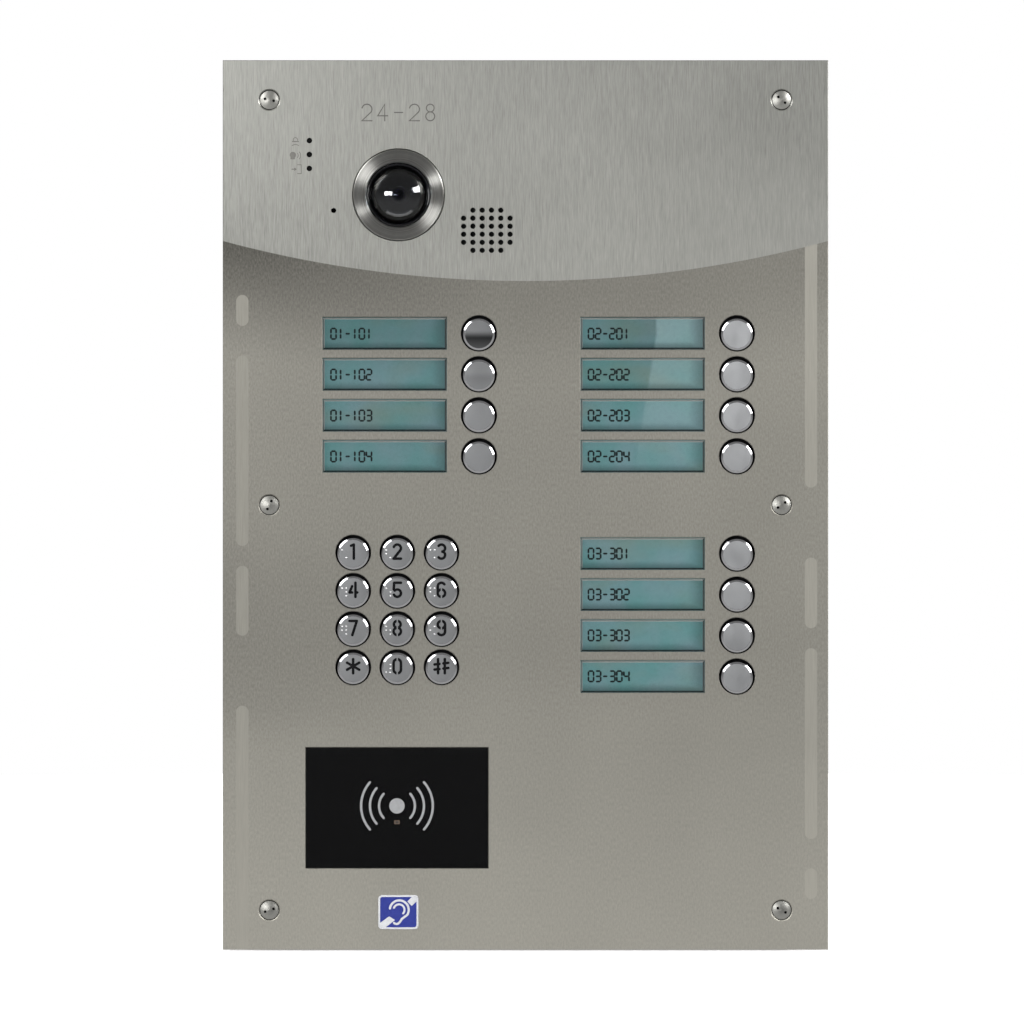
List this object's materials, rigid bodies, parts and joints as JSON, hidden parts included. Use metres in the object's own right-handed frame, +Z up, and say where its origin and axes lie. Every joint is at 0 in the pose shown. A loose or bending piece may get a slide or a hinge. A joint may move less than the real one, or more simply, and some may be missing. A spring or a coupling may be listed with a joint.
{
  "type": "door intercom panel",
  "caption": "Flush-mounted door intercom panel: brushed stainless faceplate with camera, grille, name displays with call buttons, keypad, badge reader, and a recessed steel back box.",
  "frame": {"origin": "centre of the panel on the wall plane, which is the back face of the gasket", "axes": "+Z up, front of the panel towards -Y, +Y into the wall, +X to the right seen from the front"},
  "size_m": [0.26, 0.0586, 0.382],
  "materials": {
    "stainless_plate": "brushed above the arc, fine blasted below it",
    "stainless_screw": "polished, slightly tarnished",
    "turned_steel": "turned, with concentric tool marks",
    "polished_cap": "satin face with a polished edge",
    "key_steel": "satin face, black characters, polished edge",
    "gasket_rubber": "matt black",
    "zinc_nut": "bright zinc plate",
    "clear_pane": "clear, slightly dusty",
    "lcd": "blue-green lit display, uneven from edge to edge",
    "black_plastic": "moulded, fine texture",
    "silicone": "translucent grey silicone",
    "circuit_board": "green solder mask",
    "dome_glass": "clear, high gloss",
    "lens_glass": "coated glass",
    "steel_mesh": "black woven wire",
    "painted_basket": "black enamel",
    "cone_paper": "black pressed pulp",
    "ferrite": "sintered, matt",
    "capsule_metal": "drawn can",
    "light_pipe": "smoked, unlit",
    "reader_black": "deep gloss black with a grey printed symbol",
    "coil_copper": "enamelled copper wire, potted",
    "label_blue": "printed film, blue with a white border",
    "terminal_green": "moulded green",
    "ribbon_grey": "grey flat cable",
    "galvanised": "hot-dip galvanised spangle"
  },
  "bodies": {
    "root": {"faceplate": "stainless_plate", "faceplate_screws": "stainless_screw", "faceplate_gasket": "gasket_rubber", "cable_grommet": "gasket_rubber", "microphone_boot": "gasket_rubber", "stud_nuts": "zinc_nut", "display_windows": "clear_pane", "display_panels": "lcd", "call_module_frames": "black_plastic", "keypad_frame": "black_plastic", "camera_housing": "black_plastic", "call_button_mats": "silicone", "keypad_mat": "silicone", "call_module_boards": "circuit_board", "keypad_board": "circuit_board", "indicator_board": "circuit_board", "reader_antenna_board": "circuit_board", "main_board": "circuit_board", "camera_bezel": "turned_steel", "camera_dome": "dome_glass", "speaker_mesh": "steel_mesh", "speaker_frame": "painted_basket", "speaker_cone": "cone_paper", "speaker_magnet": "ferrite", "microphone": "capsule_metal", "indicator_light_pipes": "light_pipe", "reader_window": "reader_black", "hearing_loop_coil": "coil_copper", "hearing_loop_label": "label_blue", "terminal_blocks": "terminal_green", "wiring_looms": "ribbon_grey", "back_box": "galvanised"},
    "camera_ring": {"camera_gimbal_ring": "black_plastic"},
    "camera_eye": {"camera_ball": "black_plastic", "camera_lens": "lens_glass", "camera_sensor_board": "circuit_board"},
    "call_button_01": {"call_button_01": "polished_cap"},
    "call_button_02": {"call_button_02": "polished_cap"},
    "call_button_03": {"call_button_03": "polished_cap"},
    "call_button_04": {"call_button_04": "polished_cap"},
    "call_button_05": {"call_button_05": "polished_cap"},
    "call_button_06": {"call_button_06": "polished_cap"},
    "call_button_07": {"call_button_07": "polished_cap"},
    "call_button_08": {"call_button_08": "polished_cap"},
    "call_button_09": {"call_button_09": "polished_cap"},
    "call_button_10": {"call_button_10": "polished_cap"},
    "call_button_11": {"call_button_11": "polished_cap"},
    "call_button_12": {"call_button_12": "polished_cap"},
    "key_1": {"key_1": "key_steel"},
    "key_2": {"key_2": "key_steel"},
    "key_3": {"key_3": "key_steel"},
    "key_4": {"key_4": "key_steel"},
    "key_5": {"key_5": "key_steel"},
    "key_6": {"key_6": "key_steel"},
    "key_7": {"key_7": "key_steel"},
    "key_8": {"key_8": "key_steel"},
    "key_9": {"key_9": "key_steel"},
    "key_star": {"key_star": "key_steel"},
    "key_0": {"key_0": "key_steel"},
    "key_hash": {"key_hash": "key_steel"}
  },
  "joints": [
    {"name": "call_button_01_press", "type": "slide", "parent": "root", "child": "call_button_01", "axis": [0, 1, 0], "range_m": [0, 0.0012], "stiffness_N_per_m": 250, "springref_m": -0.001, "deforming": ["call_button_mats"]},
    {"name": "call_button_02_press", "type": "slide", "parent": "root", "child": "call_button_02", "axis": [0, 1, 0], "range_m": [0, 0.0012], "stiffness_N_per_m": 250, "springref_m": -0.001, "deforming": ["call_button_mats"]},
    {"name": "call_button_03_press", "type": "slide", "parent": "root", "child": "call_button_03", "axis": [0, 1, 0], "range_m": [0, 0.0012], "stiffness_N_per_m": 250, "springref_m": -0.001, "deforming": ["call_button_mats"]},
    {"name": "call_button_04_press", "type": "slide", "parent": "root", "child": "call_button_04", "axis": [0, 1, 0], "range_m": [0, 0.0012], "stiffness_N_per_m": 250, "springref_m": -0.001, "deforming": ["call_button_mats"]},
    {"name": "call_button_05_press", "type": "slide", "parent": "root", "child": "call_button_05", "axis": [0, 1, 0], "range_m": [0, 0.0012], "stiffness_N_per_m": 250, "springref_m": -0.001, "deforming": ["call_button_mats"]},
    {"name": "call_button_06_press", "type": "slide", "parent": "root", "child": "call_button_06", "axis": [0, 1, 0], "range_m": [0, 0.0012], "stiffness_N_per_m": 250, "springref_m": -0.001, "deforming": ["call_button_mats"]},
    {"name": "call_button_07_press", "type": "slide", "parent": "root", "child": "call_button_07", "axis": [0, 1, 0], "range_m": [0, 0.0012], "stiffness_N_per_m": 250, "springref_m": -0.001, "deforming": ["call_button_mats"]},
    {"name": "call_button_08_press", "type": "slide", "parent": "root", "child": "call_button_08", "axis": [0, 1, 0], "range_m": [0, 0.0012], "stiffness_N_per_m": 250, "springref_m": -0.001, "deforming": ["call_button_mats"]},
    {"name": "call_button_09_press", "type": "slide", "parent": "root", "child": "call_button_09", "axis": [0, 1, 0], "range_m": [0, 0.0012], "stiffness_N_per_m": 250, "springref_m": -0.001, "deforming": ["call_button_mats"]},
    {"name": "call_button_10_press", "type": "slide", "parent": "root", "child": "call_button_10", "axis": [0, 1, 0], "range_m": [0, 0.0012], "stiffness_N_per_m": 250, "springref_m": -0.001, "deforming": ["call_button_mats"]},
    {"name": "call_button_11_press", "type": "slide", "parent": "root", "child": "call_button_11", "axis": [0, 1, 0], "range_m": [0, 0.0012], "stiffness_N_per_m": 250, "springref_m": -0.001, "deforming": ["call_button_mats"]},
    {"name": "call_button_12_press", "type": "slide", "parent": "root", "child": "call_button_12", "axis": [0, 1, 0], "range_m": [0, 0.0012], "stiffness_N_per_m": 250, "springref_m": -0.001, "deforming": ["call_button_mats"]},
    {"name": "key_1_press", "type": "slide", "parent": "root", "child": "key_1", "axis": [0, 1, 0], "range_m": [0, 0.0012], "stiffness_N_per_m": 250, "springref_m": -0.001, "deforming": ["keypad_mat"]},
    {"name": "key_2_press", "type": "slide", "parent": "root", "child": "key_2", "axis": [0, 1, 0], "range_m": [0, 0.0012], "stiffness_N_per_m": 250, "springref_m": -0.001, "deforming": ["keypad_mat"]},
    {"name": "key_3_press", "type": "slide", "parent": "root", "child": "key_3", "axis": [0, 1, 0], "range_m": [0, 0.0012], "stiffness_N_per_m": 250, "springref_m": -0.001, "deforming": ["keypad_mat"]},
    {"name": "key_4_press", "type": "slide", "parent": "root", "child": "key_4", "axis": [0, 1, 0], "range_m": [0, 0.0012], "stiffness_N_per_m": 250, "springref_m": -0.001, "deforming": ["keypad_mat"]},
    {"name": "key_5_press", "type": "slide", "parent": "root", "child": "key_5", "axis": [0, 1, 0], "range_m": [0, 0.0012], "stiffness_N_per_m": 250, "springref_m": -0.001, "deforming": ["keypad_mat"]},
    {"name": "key_6_press", "type": "slide", "parent": "root", "child": "key_6", "axis": [0, 1, 0], "range_m": [0, 0.0012], "stiffness_N_per_m": 250, "springref_m": -0.001, "deforming": ["keypad_mat"]},
    {"name": "key_7_press", "type": "slide", "parent": "root", "child": "key_7", "axis": [0, 1, 0], "range_m": [0, 0.0012], "stiffness_N_per_m": 250, "springref_m": -0.001, "deforming": ["keypad_mat"]},
    {"name": "key_8_press", "type": "slide", "parent": "root", "child": "key_8", "axis": [0, 1, 0], "range_m": [0, 0.0012], "stiffness_N_per_m": 250, "springref_m": -0.001, "deforming": ["keypad_mat"]},
    {"name": "key_9_press", "type": "slide", "parent": "root", "child": "key_9", "axis": [0, 1, 0], "range_m": [0, 0.0012], "stiffness_N_per_m": 250, "springref_m": -0.001, "deforming": ["keypad_mat"]},
    {"name": "key_star_press", "type": "slide", "parent": "root", "child": "key_star", "axis": [0, 1, 0], "range_m": [0, 0.0012], "stiffness_N_per_m": 250, "springref_m": -0.001, "deforming": ["keypad_mat"]},
    {"name": "key_0_press", "type": "slide", "parent": "root", "child": "key_0", "axis": [0, 1, 0], "range_m": [0, 0.0012], "stiffness_N_per_m": 250, "springref_m": -0.001, "deforming": ["keypad_mat"]},
    {"name": "key_hash_press", "type": "slide", "parent": "root", "child": "key_hash", "axis": [0, 1, 0], "range_m": [0, 0.0012], "stiffness_N_per_m": 250, "springref_m": -0.001, "deforming": ["keypad_mat"]},
    {"name": "camera_pan", "type": "hinge", "parent": "root", "child": "camera_ring", "pos_m": [-0.0545, 0.006, 0.1332], "axis": [0, 0, 1], "range_deg": [-15, 15]},
    {"name": "camera_tilt", "type": "hinge", "parent": "camera_ring", "child": "camera_eye", "pos_m": [-0.0545, 0.006, 0.1332], "axis": [1, 0, 0], "range_deg": [-12, 12]}
  ]
}
